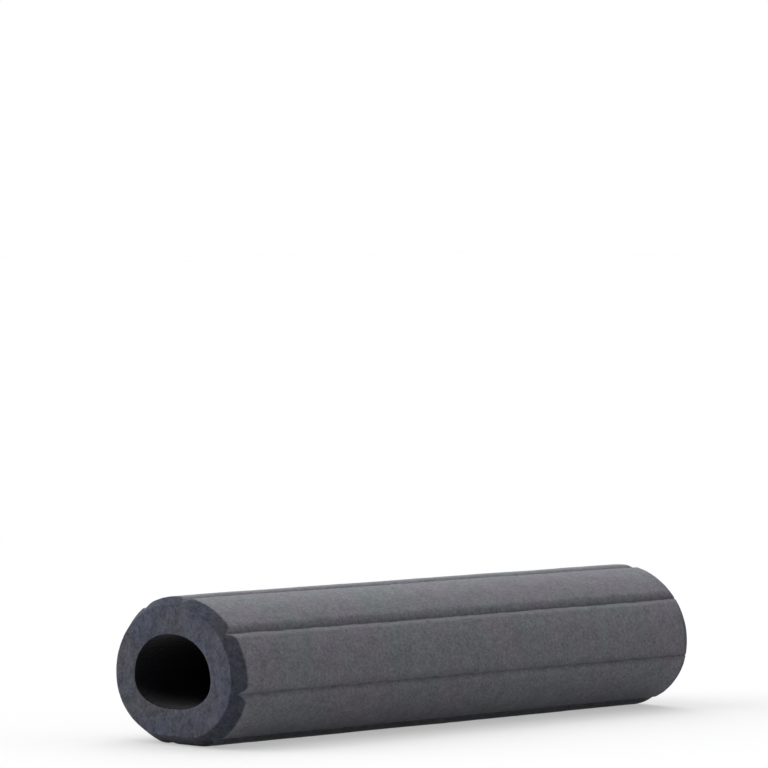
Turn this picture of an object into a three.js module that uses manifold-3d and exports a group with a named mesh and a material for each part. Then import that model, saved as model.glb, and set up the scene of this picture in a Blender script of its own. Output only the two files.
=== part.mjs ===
// A soft foam handlebar grip: one moulded sleeve, open right through, with grooves along its
// length and a chamfer at both ends, a smaller one at the far end. It lies along X on a small
// flat that its own weight presses into its underside. The origin is on the floor under the
// middle of the sleeve.
import * as THREE from "three";
import { mergeVertices, toCreasedNormals } from "three/addons/utils/BufferGeometryUtils.js";
import Module from "manifold-3d";

// Driving dimensions, in millimetres and degrees. The diameters are those of the round,
// relaxed sleeve, and sideSpread is how far its soft ring has sagged into an oval.
const gripLength = 130;
const outerDiameter = 33.8;
const boreDiameter = 18.6;
const sideSpread = 1.82;
const underFlatDepth = 0.7;
const nearChamferInset = 1.8;
const nearChamferLength = 2.5;
const farChamferInset = 0.8;
const farChamferLength = 1.6;
const grooveCount = 8;
const grooveDepth = 1.0;
const grooveWidth = 3.8;
const firstGrooveAngle = 33.5;
const topGrooveDrift = 1.25;
const skinFullness = 2.07;
const skinSag = 0.04;
const boreFullness = 2.2;
const boreSag = 0.1;
const boreRise = 0.2;
const creaseAngle = 20;

// How finely the curves are cut into straight steps, how far the bar that cuts a chamfer stands
// proud of the skin, and how near two corners are that are one.
const stepsPerRib = 6;
const stepsPerGrooveSide = 4;
const boreSteps = 48;
const tableSteps = 720;
const chamferBarMargin = 0.4;
const weldDistance = 1e-4;

// The skin and the bore are ovals of one shape family: a circle that is spread sideways and
// pressed down by the same amount, a little fuller and wider low down. The skin is also flat
// below, where it lies on the floor.
const skinRadius = outerDiameter / 2;
const boreRadius = boreDiameter / 2;
const skinOval = {
  halfWidth: skinRadius + sideSpread,
  halfHeight: skinRadius - sideSpread,
  fullness: skinFullness,
  sag: skinSag,
};
const boreOval = {
  halfWidth: boreRadius + sideSpread,
  halfHeight: boreRadius - sideSpread,
  fullness: boreFullness,
  sag: boreSag,
};
const axisHeight = skinOval.halfHeight - underFlatDepth;

// A point of an oval, as (across, up) from the sleeve's axis. The angle starts at the front
// side, -Y, and goes up over the top. What falls below the floor line lies on that line.
function ovalPoint(oval, angle, floor = Infinity) {
  const power = 2 / oval.fullness;
  const across = Math.sign(Math.cos(angle)) * Math.abs(Math.cos(angle)) ** power;
  const up = Math.sign(Math.sin(angle)) * Math.abs(Math.sin(angle)) ** power;
  const x = -oval.halfWidth * across * (1 - oval.sag * up);
  const y = Math.max(oval.halfHeight * up, -floor);
  return new THREE.Vector2(x, y);
}

function ovalOutline(oval, steps, floor = Infinity) {
  const points = [];
  for (let i = 0; i < steps; i += 1) {
    points.push(ovalPoint(oval, (i / steps) * 2 * Math.PI, floor));
  }
  return points;
}

// The skin measured by length along its outline, so that grooves can be spaced evenly on it.
const skinTable = ovalOutline(skinOval, tableSteps, axisHeight);
skinTable.push(skinTable[0].clone());
const skinLengths = [0];
for (let i = 1; i < skinTable.length; i += 1) {
  skinLengths.push(skinLengths[i - 1] + skinTable[i].distanceTo(skinTable[i - 1]));
}
const girth = skinLengths[tableSteps];

function skinPoint(distance, depth) {
  const wrapped = ((distance % girth) + girth) % girth;
  let i = skinLengths.findIndex((length) => length > wrapped) - 1;
  if (i < 0) i = tableSteps - 1;
  const share = (wrapped - skinLengths[i]) / (skinLengths[i + 1] - skinLengths[i]);
  const point = skinTable[i].clone().lerp(skinTable[i + 1], share);
  const along = skinTable[i + 1].clone().sub(skinTable[i]).normalize();
  const inward = new THREE.Vector2(along.y, -along.x);
  return point.addScaledVector(inward, depth);
}

// A groove is a narrow V whose lips roll over into the ribs: its depth falls off as a square.
function grooveDepthAt(share) {
  return grooveDepth * (1 - Math.abs(share)) ** 2;
}

// Grooves are evenly spaced along the skin, from the first one above the front side. The one
// nearest the top strays a little further over.
function grooveCentres() {
  const pitch = girth / grooveCount;
  const first = (firstGrooveAngle / 360) * girth;
  const centres = [];
  for (let i = 0; i < grooveCount; i += 1) {
    centres.push(first + i * pitch);
  }
  const topGroove = Math.round((girth / 4 - first) / pitch);
  centres[topGroove] += topGrooveDrift;
  return centres;
}

function groovedOutline() {
  const centres = grooveCentres();
  const half = grooveWidth / 2;
  const points = [];
  centres.forEach((centre, i) => {
    for (let j = -stepsPerGrooveSide; j <= stepsPerGrooveSide; j += 1) {
      const share = j / stepsPerGrooveSide;
      points.push(skinPoint(centre + share * half, grooveDepthAt(share)));
    }
    const next = i + 1 < centres.length ? centres[i + 1] : centres[0] + girth;
    const ribStart = centre + half;
    const ribLength = next - half - ribStart;
    for (let j = 1; j < stepsPerRib; j += 1) {
      points.push(skinPoint(ribStart + (j / stepsPerRib) * ribLength, 0));
    }
  });
  return points;
}

// An extrusion stands along +Z from zero. This lays it along X, centred, on the floor.
function layDown(geometry) {
  geometry.translate(0, 0, -gripLength / 2);
  const turn = new THREE.Matrix4().makeBasis(
    new THREE.Vector3(0, 1, 0),
    new THREE.Vector3(0, 0, 1),
    new THREE.Vector3(1, 0, 0),
  );
  geometry.applyMatrix4(turn);
  geometry.translate(0, 0, axisHeight);
  return geometry;
}

// The grooved sleeve, square at both ends. The bore's outline runs the other way round, as a
// hole's does.
function sleeveGeometry() {
  const shape = new THREE.Shape(groovedOutline());
  const bore = ovalOutline(boreOval, boreSteps).reverse();
  bore.forEach((point) => point.setY(point.y + boreRise));
  shape.holes.push(new THREE.Path(bore));
  return layDown(new THREE.ExtrudeGeometry(shape, { depth: gripLength, bevelEnabled: false }));
}

// A plain oval bar, chamfered at the sleeve's near end and longer than the sleeve. It stands a
// little proud of the skin, so that it trims only that end, and its sloping face passes through
// the chamfer's two edges.
function chamferBarGeometry(inset, length) {
  const slope = length / inset;
  const proud = {
    ...skinOval,
    halfWidth: skinOval.halfWidth + chamferBarMargin,
    halfHeight: skinOval.halfHeight + chamferBarMargin,
  };
  const steps = grooveCount * (stepsPerRib + 2 * stepsPerGrooveSide);
  const outline = ovalOutline(proud, steps, axisHeight + chamferBarMargin);
  const bevelSize = inset + chamferBarMargin;
  const bevelLength = bevelSize * slope;
  const geometry = new THREE.ExtrudeGeometry(new THREE.Shape(outline), {
    depth: gripLength,
    bevelEnabled: true,
    bevelSegments: 1,
    bevelThickness: bevelLength,
    bevelSize,
    bevelOffset: -bevelSize,
  });
  geometry.translate(0, 0, bevelLength);
  return layDown(geometry);
}

const wasm = await Module();
wasm.setup();

function toSolid(geometry) {
  const bare = geometry.clone();
  bare.deleteAttribute("normal");
  bare.deleteAttribute("uv");
  const merged = mergeVertices(bare, weldDistance);
  return new wasm.Manifold(new wasm.Mesh({
    numProp: 3,
    vertProperties: new Float32Array(merged.getAttribute("position").array),
    triVerts: new Uint32Array(merged.getIndex().array),
  }));
}

function toGeometry(solid) {
  const mesh = solid.getMesh();
  const geometry = new THREE.BufferGeometry();
  geometry.setAttribute("position", new THREE.BufferAttribute(mesh.vertProperties, 3));
  geometry.setIndex(new THREE.BufferAttribute(mesh.triVerts, 1));
  return toCreasedNormals(geometry, THREE.MathUtils.degToRad(creaseAngle));
}

const foam = new THREE.MeshStandardMaterial({ color: 0x6e6f75, roughness: 0.9, metalness: 0 });

const nearBar = chamferBarGeometry(nearChamferInset, nearChamferLength);
const farBar = chamferBarGeometry(farChamferInset, farChamferLength).rotateZ(Math.PI);
const sleeve = toSolid(sleeveGeometry()).intersect(toSolid(nearBar)).intersect(toSolid(farBar));
const gripSleeve = new THREE.Mesh(toGeometry(sleeve), foam);
gripSleeve.name = "grip_sleeve";

const handlebarGrip = new THREE.Group();
handlebarGrip.name = "handlebar_grip";
handlebarGrip.add(gripSleeve);

export default handlebarGrip;
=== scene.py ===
import math

import bpy
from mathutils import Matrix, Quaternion, Vector


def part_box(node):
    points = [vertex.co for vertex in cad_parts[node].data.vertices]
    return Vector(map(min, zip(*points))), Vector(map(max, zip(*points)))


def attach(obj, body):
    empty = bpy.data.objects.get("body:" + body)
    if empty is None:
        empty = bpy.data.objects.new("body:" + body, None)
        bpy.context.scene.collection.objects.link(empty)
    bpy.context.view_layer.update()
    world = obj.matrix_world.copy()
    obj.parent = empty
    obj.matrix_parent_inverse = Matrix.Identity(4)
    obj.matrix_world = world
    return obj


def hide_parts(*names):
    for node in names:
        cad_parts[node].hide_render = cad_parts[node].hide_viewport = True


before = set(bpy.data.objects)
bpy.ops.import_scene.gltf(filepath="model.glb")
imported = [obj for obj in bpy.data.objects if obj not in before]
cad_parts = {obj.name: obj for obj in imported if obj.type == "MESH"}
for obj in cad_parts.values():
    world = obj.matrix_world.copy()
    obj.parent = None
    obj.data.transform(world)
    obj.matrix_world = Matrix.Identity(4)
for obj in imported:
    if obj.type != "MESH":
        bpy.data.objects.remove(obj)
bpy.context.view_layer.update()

# The camera stands off the near end, almost level with the grip, with a long lens. Its place
# and its aim are in metres in the grip's own frame, and it leans by a slight roll.
lens_length = 251.8
sensor_width = 36.0
clip_start = 0.05
camera_place = Vector((-0.77133, -0.78486, 0.10893))
camera_aim = Vector((-0.00215, 0.00485, 0.06957))
camera_roll = math.radians(-0.076)

camera_data = bpy.data.cameras.new("camera")
camera_data.lens = lens_length
camera_data.sensor_width = sensor_width
camera_data.clip_start = clip_start
camera = bpy.data.objects.new("camera", camera_data)
bpy.context.scene.collection.objects.link(camera)
aimed = (camera_aim - camera_place).to_track_quat("-Z", "Y")
camera.location = camera_place
camera.rotation_mode = "QUATERNION"
camera.rotation_quaternion = aimed @ Quaternion((0, 0, 1), camera_roll)
bpy.context.scene.camera = camera
bpy.context.scene.view_settings.view_transform = "Standard"

# The studio: a dim surround and a pale floor, which the camera and reflections see as plain
# white, and four wide softboxes far off, so that the floor is lit evenly. Each softbox has a turn
# from +X, a height above the floor, and a light in which 1 makes a white surface white.
surround_light = 0.03
softboxes = {
    "overhead_softbox": (0, 90, 0.37),
    "right_softbox": (-44, 30, 0.28),
    "left_softbox": (136, 30, 0.62),
    "back_softbox": (46, 45, 0.44),
}
softbox_spread = math.radians(60)
softbox_distance = 2.0
white = (1.0, 1.0, 1.0, 1.0)
floor_size = 12.0
floor_drop = 0.00002
floor_paint = 0.6
floor_paint_seen = 0.5


class Wire:
    """An output socket of a node graph. Arithmetic on wires adds the graph's Math nodes."""

    def __init__(self, graph, socket):
        self.graph = graph
        self.socket = socket

    def __add__(self, other):
        return self.graph.math("ADD", self, other)

    def __radd__(self, other):
        return self.graph.math("ADD", other, self)

    def __sub__(self, other):
        return self.graph.math("SUBTRACT", self, other)

    def __rsub__(self, other):
        return self.graph.math("SUBTRACT", other, self)

    def __mul__(self, other):
        return self.graph.math("MULTIPLY", self, other)

    def __rmul__(self, other):
        return self.graph.math("MULTIPLY", other, self)

    def __truediv__(self, other):
        return self.graph.math("DIVIDE", self, other)

    def __rtruediv__(self, other):
        return self.graph.math("DIVIDE", other, self)

    def __pow__(self, other):
        return self.graph.math("POWER", self, other)

    def __neg__(self):
        return self.graph.math("MULTIPLY", self, -1.0)

    def __abs__(self):
        return self.graph.math("ABSOLUTE", self)

    def clamped(self):
        """The same value, kept between 0 and 1."""
        return self.graph.node(
            "ShaderNodeMath", {"operation": "ADD", "use_clamp": True}, {0: self, 1: 0.0}
        )

    def beside(self, output):
        """Another output of the same node."""
        return Wire(self.graph, self.socket.node.outputs[output])


class Graph:
    """A node tree under construction. node() adds one node and gives back an output of it."""

    def __init__(self, tree):
        self.tree = tree

    def node(self, kind, settings=None, inputs=None, output=0):
        node = self.tree.nodes.new(kind)
        for name, value in (settings or {}).items():
            setattr(node, name, value)
        for key, value in (inputs or {}).items():
            if isinstance(value, Wire):
                self.tree.links.new(value.socket, node.inputs[key])
            else:
                node.inputs[key].default_value = value
        return Wire(self, node.outputs[output] if node.outputs else None)

    def math(self, operation, *values):
        return self.node("ShaderNodeMath", {"operation": operation}, dict(enumerate(values)))


def empty_graph(owner):
    """The node graph of a world or a material, with nothing in it."""
    owner.use_nodes = True
    owner.node_tree.nodes.clear()
    return Graph(owner.node_tree)


def seen_directly(graph):
    """1 for the camera, for reflections and through glass, and 0 for light on other things."""
    ray = graph.node("ShaderNodeLightPath", output="Is Camera Ray")
    seen = graph.math("MAXIMUM", ray, ray.beside("Is Glossy Ray"))
    return graph.math("MAXIMUM", seen, ray.beside("Is Transmission Ray"))


world = bpy.data.worlds.new("studio")
bpy.context.scene.world = world
surround = empty_graph(world)
strength = surround_light + (1.0 - surround_light) * seen_directly(surround)
background = surround.node("ShaderNodeBackground", inputs={"Color": white, "Strength": strength})
surround.node("ShaderNodeOutputWorld", inputs={"Surface": background})

# The floor's glow makes up what its paint lacks to white, so that only the shadow shows on it.
floor_light = surround_light
for _, height, light in softboxes.values():
    floor_light += light * math.sin(math.radians(height))
floor_glow = 1.0 - floor_paint_seen * floor_light
floor_finish = bpy.data.materials.new("studio_floor")
floor_graph = empty_graph(floor_finish)
seen = seen_directly(floor_graph)
paint = floor_paint + seen * (floor_paint_seen - floor_paint)
painted = floor_graph.node("ShaderNodeBsdfDiffuse", inputs={"Color": paint})
glow = floor_graph.node("ShaderNodeEmission", inputs={"Strength": seen * floor_glow})
shown = floor_graph.node("ShaderNodeAddShader", inputs={0: painted, 1: glow})
floor_graph.node("ShaderNodeOutputMaterial", inputs={"Surface": shown})

half_floor = floor_size / 2
floor_corners = [
    (side * half_floor, end * half_floor, -floor_drop)
    for side, end in ((-1, -1), (1, -1), (1, 1), (-1, 1))
]
floor_mesh = bpy.data.meshes.new("studio_floor")
floor_mesh.from_pydata(floor_corners, [], [(0, 1, 2, 3)])
floor_mesh.materials.append(floor_finish)
floor = bpy.data.objects.new("studio_floor", floor_mesh)
bpy.context.scene.collection.objects.link(floor)

for name, (turn, height, light) in softboxes.items():
    lamp = bpy.data.lights.new(name, "SUN")
    lamp.angle = softbox_spread
    lamp.energy = light * math.pi
    softbox = bpy.data.objects.new(name, lamp)
    outward = math.cos(math.radians(height))
    towards = Vector((
        outward * math.cos(math.radians(turn)),
        outward * math.sin(math.radians(turn)),
        math.sin(math.radians(height)),
    ))
    softbox.location = towards * softbox_distance
    softbox.rotation_mode = "QUATERNION"
    softbox.rotation_quaternion = towards.to_track_quat("Z", "Y")
    bpy.context.scene.collection.objects.link(softbox)

# The sleeve is one tube of soft silicone foam with a closed, finely ground skin, sagged into an
# oval. Eight grooves run its whole length, and the one nearest the top strays. Both ends are
# ground to a chamfer by hand, shorter over the top, and the far one is worn back on its underside.
under_flat_depth = 0.0007
wall_thickness = 0.00785
sleeve_low, sleeve_high = (Vector(corner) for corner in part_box("grip_sleeve"))
sleeve_size = sleeve_high - sleeve_low
round_height = sleeve_size.z + under_flat_depth
skin_diameter = (sleeve_size.y + round_height) / 2

# The diameters are those of the round, relaxed sleeve, and the side spread is how far it has
# sagged into an oval. Fullness is 2 for an ellipse and more for a fuller oval, and sag widens its
# lower half. A trim shortens a chamfer over the top, and the end zone is how far from an end its
# trim, lean and wear reach.
sleeve_sizes = {
    "Length": sleeve_size.x,
    "Skin Diameter": skin_diameter,
    "Skin Fullness": 2.07,
    "Skin Sag": 0.04,
    "Side Spread": (sleeve_size.y - round_height) / 4,
    "Under Flat Depth": under_flat_depth,
    "Flat Edge Blend": 0.0004,
    "Wall": wall_thickness,
    "Bore Diameter": skin_diameter - 2 * wall_thickness,
    "Bore Fullness": 2.23,
    "Bore Sag": 0.12,
    "Bore Shift": 0.0003,
    "Bore Rise": 0.0002,
    "Groove Count": 8,
    "Groove Depth": 0.0010,
    "Groove Width": 0.0038,
    "Groove Wander": 0.0008,
    "First Groove Angle": 33.5,
    "Top Groove Drift": 0.00110,
    "Top Groove Twist": 0.0007,
    "Near Chamfer Inset": 0.0018,
    "Near Chamfer Length": 0.0029,
    "Near Chamfer Trim": 0.0010,
    "Far Chamfer Inset": 0.0008,
    "Far Chamfer Length": 0.0017,
    "Far Chamfer Trim": 0.0005,
    "Chamfer Edge Blend": 0.0001,
    "Far End Lean": 0.0004,
    "Far End Wear": 0.0014,
    "End Zone": 0.012,
    "Swell Height": 0.0003,
    "Pit Height": 0.00012,
    "Steps Around": 580,
    "Seed": 4,
}

# How the sizes fade into each other. A turn starts at the front side and goes up over the top. A
# level goes from -1 at the bottom of the oval to 1 at its top, and the wear starts low down. The
# far floor corner lies on the floor, well outside the sleeve. A noise has its scale, in waves per
# metre, and its detail.
oval_steps = 720
corner_steps = 3
degrees_in_turn = 360.0
turn_to_top = 0.25
half_a_groove = 0.5
groove_fall = 2.0
wear_level, wear_fade = -0.75, 0.2
ground_edge = 0.00015
# Painted shade in a groove begins at this share of the groove's depth.
painted_groove_shade_starts = 0.6
far_floor_corner = (-1.0, -1.0, 0.0)
wander_noise = (260.0, 1.5)
swell_noise = (45.0, 2.0)
pit_noise = (620.0, 3.0)


def wall_section(sizes):
    """The closed outline of the wall, cut along the sleeve, as points along and inward. It runs
    along the skin, over the far end, back through the bore and over the near end."""
    half_length = sizes["Length"] / 2
    wall = sizes["Wall"]
    # Each corner: its place, the steps from it to the next one, and the radius that rounds it.
    corners = [
        (Vector((-half_length + sizes["Near Chamfer Length"], 0.0)), 96, 0.0003),
        (Vector((half_length - sizes["Far Chamfer Length"], 0.0)), 10, 0.0004),
        (Vector((half_length, sizes["Far Chamfer Inset"])), 8, 0.0003),
        (Vector((half_length, wall)), 16, 0.0005),
        (Vector((-half_length, wall)), 8, 0.0005),
        (Vector((-half_length, sizes["Near Chamfer Inset"])), 12, 0.00025),
    ]
    points = []
    for i, (corner, steps, radius) in enumerate(corners):
        before = corners[i - 1][0]
        after, _, next_radius = corners[(i + 1) % len(corners)]
        start = corner + (before - corner).normalized() * radius
        end = corner + (after - corner).normalized() * radius
        for j in range(corner_steps + 1):
            share = j / corner_steps
            points.append(start.lerp(corner, share).lerp(corner.lerp(end, share), share))
        next_start = after + (corner - after).normalized() * next_radius
        for j in range(1, steps):
            points.append(end.lerp(next_start, j / steps))
    return [(point.x, point.y, 0.0) for point in points]


def oval_place(graph, sizes, part):
    """Where the skin's or the bore's outline goes, across and up from the sleeve's axis: a circle
    that sags wide and low. It starts at the front side and goes up over the top."""
    angle = graph.node("GeometryNodeInputIndex") * (2 * math.pi / oval_steps)
    cosine = graph.math("COSINE", angle)
    sine = graph.math("SINE", angle)
    power = 2.0 / sizes[part + " Fullness"]
    front = graph.math("SIGN", cosine) * abs(cosine) ** power
    level = graph.math("SIGN", sine) * abs(sine) ** power
    radius = sizes[part + " Diameter"] * 0.5
    across = front * (level * sizes[part + " Sag"] - 1.0) * (radius + sizes["Side Spread"])
    return across, level * (radius - sizes["Side Spread"])


def closed_curve(graph, across, up):
    """A closed curve through places across and up from the axis, one for each step."""
    ring = graph.node(
        "GeometryNodeCurvePrimitiveCircle", {"mode": "RADIUS"}, {"Resolution": oval_steps}
    )
    place = graph.node("ShaderNodeCombineXYZ", inputs={"Y": across, "Z": up})
    return graph.node("GeometryNodeSetPosition", inputs={"Geometry": ring, "Position": place})


def curve_place(graph, curve, turn):
    """The place of a curve at a turn, which is a share of its length."""
    return graph.node(
        "GeometryNodeSampleCurve", {"mode": "FACTOR"}, {"Curves": curve, "Factor": turn}, "Position"
    )


def captured(geometry, kind, name, value):
    """Keeps a value on a geometry's points, so that it can be read after the sweep."""
    graph = geometry.graph
    kept = graph.node("GeometryNodeCaptureAttribute", {"domain": "POINT"}, {"Geometry": geometry})
    kept.socket.node.capture_items.new(kind, name)
    graph.tree.links.new(value.socket, kept.socket.node.inputs[name])
    return kept, kept.beside(name)


def noise(graph, place, kind, seed=None):
    """Smooth noise about zero, of a kind that is a scale and a detail."""
    scale, detail = kind
    settings = {"noise_dimensions": "3D"}
    inputs = {"Vector": place, "Scale": scale, "Detail": detail}
    if seed is not None:
        settings["noise_dimensions"] = "4D"
        inputs["W"] = seed
    return graph.node("ShaderNodeTexNoise", settings, inputs) - 0.5


def mixed(graph, kind, share, first, second):
    """Turns one vector or colour, of kind VECTOR or RGBA, into a second one by a share. Each kind
    has two inputs and a result of its own on the node, by number."""
    first_input, second_input, result = {"VECTOR": (4, 5, 1), "RGBA": (6, 7, 2)}[kind]
    inputs = {"Factor": share, first_input: first, second_input: second}
    return graph.node("ShaderNodeMix", {"data_type": kind}, inputs, result)


def groove_cut(graph, sizes, along, turn, girth):
    """How deep the skin is cut at a place along and round the sleeve. The grooves are spaced
    evenly, a narrow V each, with lips that roll over into the ribs."""
    pitch = girth / sizes["Groove Count"]
    first = girth * sizes["First Groove Angle"] / degrees_in_turn
    distance = turn * girth
    nearest = graph.math("ROUND", (distance - first) / pitch)
    top_groove = graph.math("ROUND", (girth * turn_to_top - first) / pitch)
    is_top = graph.math("COMPARE", nearest, top_groove, half_a_groove)
    twist = sizes["Top Groove Twist"] * (along / sizes["Length"] + 0.5)
    centre = first + nearest * pitch + is_top * (sizes["Top Groove Drift"] - twist)
    on_rib = graph.node("ShaderNodeCombineXYZ", inputs={"X": along, "Y": distance})
    wander = noise(graph, on_rib, wander_noise, sizes["Seed"]) * sizes["Groove Wander"]
    reach = abs(distance - centre + wander) / (sizes["Groove Width"] * 0.5)
    return sizes["Groove Depth"] * (1.0 - graph.math("MINIMUM", reach, 1.0)) ** groove_fall


def ground_ends(graph, sizes, along, inward, level):
    """The two chamfers. Gives how far in they take a point, how far it lies past them towards
    the bore, and its new place along the sleeve."""
    is_far = graph.math("GREATER_THAN", along, 0.0)
    near_inset = sizes["Near Chamfer Inset"]
    end_inset = near_inset + is_far * (sizes["Far Chamfer Inset"] - near_inset)
    to_chamfer = graph.math("MINIMUM", inward, end_inset)
    past_chamfer = ((inward - end_inset) / (sizes["Wall"] - end_inset)).clamped()

    # The wear takes the far chamfer further along and deeper in, on the flat alone.
    on_flat = ((wear_level - level) / wear_fade).clamped()
    worn = is_far * on_flat * sizes["Far End Wear"]
    chamfered = to_chamfer * (1.0 + worn / near_inset)

    half_length = sizes["Length"] * 0.5
    end_zone = sizes["End Zone"]
    near_part = (end_zone - half_length - along) / (end_zone - sizes["Near Chamfer Length"])
    far_part = (end_zone - half_length + along) / (end_zone - sizes["Far Chamfer Length"])
    by_near = near_part.clamped()
    by_far = far_part.clamped()
    trim = by_far * sizes["Far Chamfer Trim"] - by_near * sizes["Near Chamfer Trim"]
    trim = (trim * level.clamped() - by_far * worn) * (1.0 - to_chamfer / end_inset)
    leaned = along + trim + by_far * level * sizes["Far End Lean"]
    return chamfered, past_chamfer, leaned


def roughened(graph, sizes, geometry):
    """Pushes the skin in and out along its normal by a faint swell and fine pits. What would
    fall below the floor is laid on it, since no point goes below the far floor corner."""
    here = graph.node("GeometryNodeInputPosition")
    swell = noise(graph, here, swell_noise, sizes["Seed"]) * sizes["Swell Height"]
    pits = noise(graph, here, pit_noise, sizes["Seed"]) * sizes["Pit Height"]
    normal = graph.node("GeometryNodeInputNormal")
    push = graph.node(
        "ShaderNodeVectorMath", {"operation": "SCALE"}, {0: normal, "Scale": swell + pits}
    )
    rough = graph.node("GeometryNodeSetPosition", inputs={"Geometry": geometry, "Offset": push})
    kept = graph.node(
        "ShaderNodeVectorMath", {"operation": "MAXIMUM"}, {0: here, 1: far_floor_corner}
    )
    return graph.node("GeometryNodeSetPosition", inputs={"Geometry": rough, "Position": kept})


def sleeve_tree(size_values):
    """Sweeps the wall's section round the oval skin, then cuts the grooves and the chamfers and
    gives the bore its own oval. The tree's inputs are the sleeve's sizes, its lengths in metres
    and its angle in degrees."""
    tree = bpy.data.node_groups.new("grooved_sleeve", "GeometryNodeTree")
    face = tree.interface
    face.new_socket("Wall Section", in_out="INPUT", socket_type="NodeSocketGeometry")
    for name, value in size_values.items():
        kind = "NodeSocketInt" if isinstance(value, int) else "NodeSocketFloat"
        face.new_socket(name, in_out="INPUT", socket_type=kind)
    face.new_socket("Foam", in_out="INPUT", socket_type="NodeSocketMaterial")
    face.new_socket("Sleeve", in_out="OUTPUT", socket_type="NodeSocketGeometry")
    graph = Graph(tree)
    given = graph.node("NodeGroupInput")
    sizes = {socket.name: Wire(graph, socket) for socket in given.socket.node.outputs}

    skin_height = sizes["Skin Diameter"] * 0.5 - sizes["Side Spread"]
    axis_height = skin_height - sizes["Under Flat Depth"]
    across, up = oval_place(graph, sizes, "Skin")
    flattened = graph.math("SMOOTH_MAX", up, -axis_height, sizes["Flat Edge Blend"])
    skin = closed_curve(graph, across, flattened)
    across, up = oval_place(graph, sizes, "Bore")
    bore = closed_curve(graph, across + sizes["Bore Shift"], up + sizes["Bore Rise"])

    section = graph.node("GeometryNodeMeshToCurve", inputs={"Mesh": sizes["Wall Section"]})
    place = graph.node("GeometryNodeInputPosition")
    section, section_place = captured(section, "VECTOR", "Section", place)
    even = graph.node(
        "GeometryNodeResampleCurve", {"mode": "COUNT"}, {"Curve": skin, "Count": sizes["Steps Around"]}
    )
    factor = graph.node("GeometryNodeSplineParameter", output="Factor")
    path, turn = captured(even, "FLOAT", "Turn", factor)
    swept = graph.node("GeometryNodeCurveToMesh", inputs={"Curve": path, "Profile Curve": section})

    along = graph.node("ShaderNodeSeparateXYZ", inputs={"Vector": section_place}, output="X")
    on_skin = curve_place(graph, skin, turn)
    on_bore = curve_place(graph, bore, turn)
    heading = graph.node(
        "ShaderNodeSeparateXYZ", inputs={"Vector": on_skin.beside("Tangent")}, output="Y"
    )
    inside = graph.node("ShaderNodeCombineXYZ", inputs={"Y": heading.beside("Z"), "Z": -heading})
    level = graph.node("ShaderNodeSeparateXYZ", inputs={"Vector": on_skin}, output="Z") / skin_height
    girth = graph.node("GeometryNodeCurveLength", inputs={"Curve": skin})
    cut = groove_cut(graph, sizes, along, turn, girth)
    chamfered, past_chamfer, leaned = ground_ends(graph, sizes, along, along.beside("Y"), level)

    inset = graph.math("SMOOTH_MAX", cut, chamfered, sizes["Chamfer Edge Blend"])
    skin_side = graph.node(
        "ShaderNodeVectorMath", {"operation": "MULTIPLY_ADD"}, {0: inside, 1: inset, 2: on_skin}
    )
    around = mixed(graph, "VECTOR", past_chamfer, skin_side, on_bore)
    lifted = graph.node("ShaderNodeCombineXYZ", inputs={"X": leaned, "Z": axis_height})
    settled = graph.node("ShaderNodeVectorMath", {"operation": "ADD"}, {0: around, 1: lifted})
    shaped = graph.node("GeometryNodeSetPosition", inputs={"Geometry": swept, "Position": settled})

    sleeve = roughened(graph, sizes, shaped)
    # The deep parts of the grooves are marked here, and the foam's material paints shade there.
    painted_groove_shade_ramp = (cut / sizes["Groove Depth"] - painted_groove_shade_starts) / (1.0 - painted_groove_shade_starts)
    stored = {
        "ground": ((chamfered - cut) / ground_edge).clamped(),
        "past_chamfer": past_chamfer,
        "painted_groove_shade": painted_groove_shade_ramp.clamped() * (1.0 - past_chamfer),
    }
    for name, value in stored.items():
        sleeve = graph.node(
            "GeometryNodeStoreNamedAttribute",
            {"data_type": "FLOAT", "domain": "POINT"},
            {"Geometry": sleeve, "Name": name, "Value": value},
        )
    smooth = graph.node("GeometryNodeSetShadeSmooth", inputs={"Geometry": sleeve})
    real = graph.node("GeometryNodeRealizeInstances", inputs={"Geometry": smooth})
    dressed = graph.node(
        "GeometryNodeSetMaterial", inputs={"Geometry": real, "Material": sizes["Foam"]}
    )
    graph.node("NodeGroupOutput", inputs={"Sleeve": dressed})
    return tree


# The foam is charcoal, with a dull skin and darker, coarser cut faces. Pores and cells have their
# number per metre and their middle value. A tone is how strongly a pattern shows, and a shade is
# how much darker a place is than the open skin. The shades near the floor, in the grooves and in
# the bore are painted shade, and the chamfer's is partly painted shade.
purple_skin = (0.161, 0.152, 0.176, 1.0)
green_skin = (0.147, 0.159, 0.172, 1.0)
warm_cut = (0.144, 0.141, 0.166, 1.0)
blue_cut = (0.126, 0.142, 0.198, 1.0)
tint_spread = 0.3
grain_noise = (1500.0, 3.0)
cloud_noise = (420.0, 3.0)
patch_noise = (95.0, 1.5)
pore_scale, pore_middle = 2300.0, 0.45
cell_scale, cell_middle = 1250.0, 0.4
grain_tone, cloud_tone, pore_tone = 1.0, 0.5, 0.3
cut_cell_tone, cut_cloud_tone = 0.42, 0.6
end_face_starts, bore_wall_starts = 0.02, 0.97
# Painted shade: the sleeve is darkened near its contact with the floor as a painted shadow, in the
# deep parts of the grooves, and on the bore wall. The chamfer's darkening is partly its ground face
# and partly painted shade.
painted_contact_shade_height, painted_contact_shade_fade = 0.0018, 0.0014
painted_contact_shade = 0.35
painted_groove_shade_strength = 0.24
chamfer_cut_and_painted_shade = 0.59
end_face_shade = 0.44
painted_bore_shade = 0.89
grain_relief, pore_relief, cell_relief = 0.6, 0.8, 1.2
relief_strength, relief_depth = 0.6, 0.00012
skin_roughness, cut_roughness, grain_roughness = 0.7, 0.9, 0.2
specular_level = 0.05
sheen_weight, sheen_roughness = 0.1, 0.5


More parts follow.
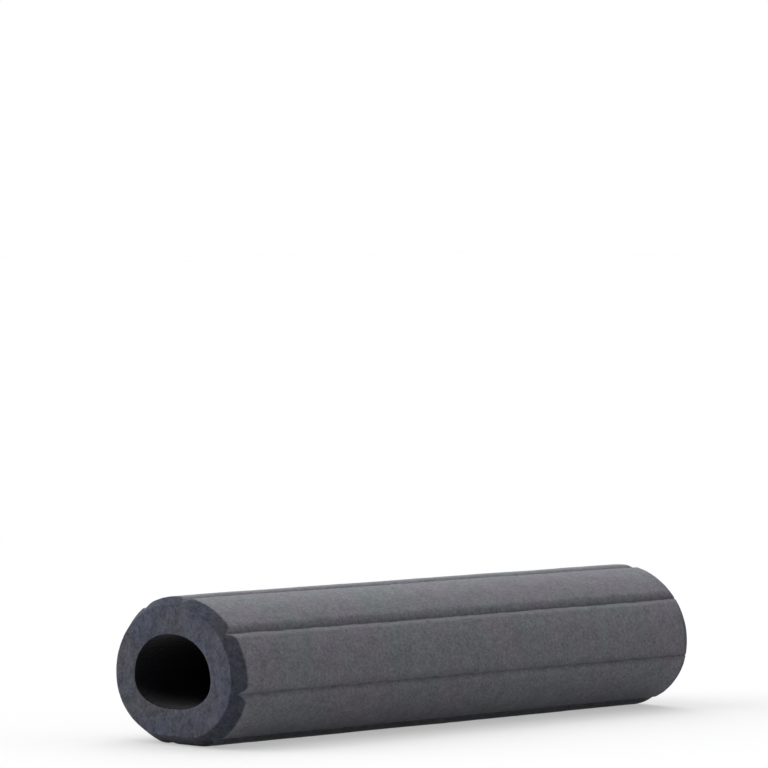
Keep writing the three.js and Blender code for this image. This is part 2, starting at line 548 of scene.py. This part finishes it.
def foam_finish():
    """Speckle, tint and relief from noise and cells, with the darker ground faces and painted shade
    in the bore, in the grooves and along the contact with the floor. The chamfer's darkening is
    partly painted shade."""
    finish = bpy.data.materials.new("charcoal_foam")
    graph = empty_graph(finish)
    place = graph.node("ShaderNodeTexCoord", output="Object")
    above_floor = graph.node("ShaderNodeSeparateXYZ", inputs={"Vector": place}, output="Z")
    ground, past_chamfer, painted_groove_shade = (
        graph.node("ShaderNodeAttribute", {"attribute_name": name}, output="Fac")
        for name in ("ground", "past_chamfer", "painted_groove_shade")
    )
    grain = noise(graph, place, grain_noise)
    cloud = noise(graph, place, cloud_noise)
    patch = noise(graph, place, patch_noise)
    pores, cells = (
        graph.node("ShaderNodeTexVoronoi", {"feature": "F1"}, {"Vector": place, "Scale": scale})
        for scale in (pore_scale, cell_scale)
    )

    speck = grain * grain_tone + cloud * cloud_tone + (pores - pore_middle) * pore_tone
    mottle = ground * ((cells - cell_middle) * cut_cell_tone + cloud * cut_cloud_tone)
    tone = 1.0 + speck + mottle
    end_face = graph.math("GREATER_THAN", past_chamfer, end_face_starts)
    bore_wall = graph.math("GREATER_THAN", past_chamfer, bore_wall_starts)
    # Each place is darkened by its share. Most of these are painted shade, and only the end face is
    # the cut foam's own darker colour.
    for where, shade in (
        # Painted contact shadow: darker within a couple of millimetres of the floor.
        (((painted_contact_shade_height - above_floor) / painted_contact_shade_fade).clamped(), painted_contact_shade),
        # Painted shade in the deep parts of the grooves.
        (painted_groove_shade * (1.0 - ground), painted_groove_shade_strength),
        # The chamfer is darker partly as a coarser ground face and partly as painted shade.
        (ground * (1.0 - end_face), chamfer_cut_and_painted_shade),
        (end_face, end_face_shade),
        # Painted shade on the bore wall, which is the same foam as the skin.
        (bore_wall, painted_bore_shade),
    ):
        tone = tone * (1.0 - where * shade)

    tint = (patch / tint_spread + 0.5).clamped()
    skin_colour = mixed(graph, "RGBA", tint, purple_skin, green_skin)
    cut_colour = mixed(graph, "RGBA", tint, warm_cut, blue_cut)
    base = mixed(graph, "RGBA", ground, skin_colour, cut_colour)
    colour = graph.node("ShaderNodeVectorMath", {"operation": "SCALE"}, {0: base, "Scale": tone})
    relief = grain * grain_relief + pores * pore_relief + ground * cells * cell_relief
    bump = graph.node(
        "ShaderNodeBump",
        inputs={"Strength": relief_strength, "Distance": relief_depth, "Height": relief},
    )
    roughness = skin_roughness + ground * (cut_roughness - skin_roughness) + grain * grain_roughness
    shader = graph.node(
        "ShaderNodeBsdfPrincipled",
        inputs={
            "Base Color": colour,
            "Roughness": roughness,
            "Specular IOR Level": specular_level,
            "Normal": bump,
            "Sheen Weight": sheen_weight,
            "Sheen Roughness": sheen_roughness,
        },
    )
    graph.node("ShaderNodeOutputMaterial", inputs={"Surface": shader})
    return finish


section_points = wall_section(sleeve_sizes)
section_edges = [(i, (i + 1) % len(section_points)) for i in range(len(section_points))]
section_mesh = bpy.data.meshes.new("wall_section")
section_mesh.from_pydata(section_points, section_edges, [])
sleeve = bpy.data.objects.new("foam_sleeve", section_mesh)
bpy.context.scene.collection.objects.link(sleeve)

sleeve_modifier = sleeve.modifiers.new("grooved_sleeve", "NODES")
sleeve_modifier.node_group = sleeve_tree(sleeve_sizes)
sleeve_inputs = {"Foam": foam_finish(), **sleeve_sizes}
for item in sleeve_modifier.node_group.interface.items_tree:
    if item.in_out == "INPUT" and item.name in sleeve_inputs:
        sleeve_modifier[item.identifier] = sleeve_inputs[item.name]

bpy.context.view_layer.update()
finished = sleeve.evaluated_get(bpy.context.evaluated_depsgraph_get())
sleeve_mesh = bpy.data.meshes.new_from_object(finished)
sleeve.modifiers.clear()
sleeve.data = sleeve_mesh
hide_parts("grip_sleeve")
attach(sleeve, "root")
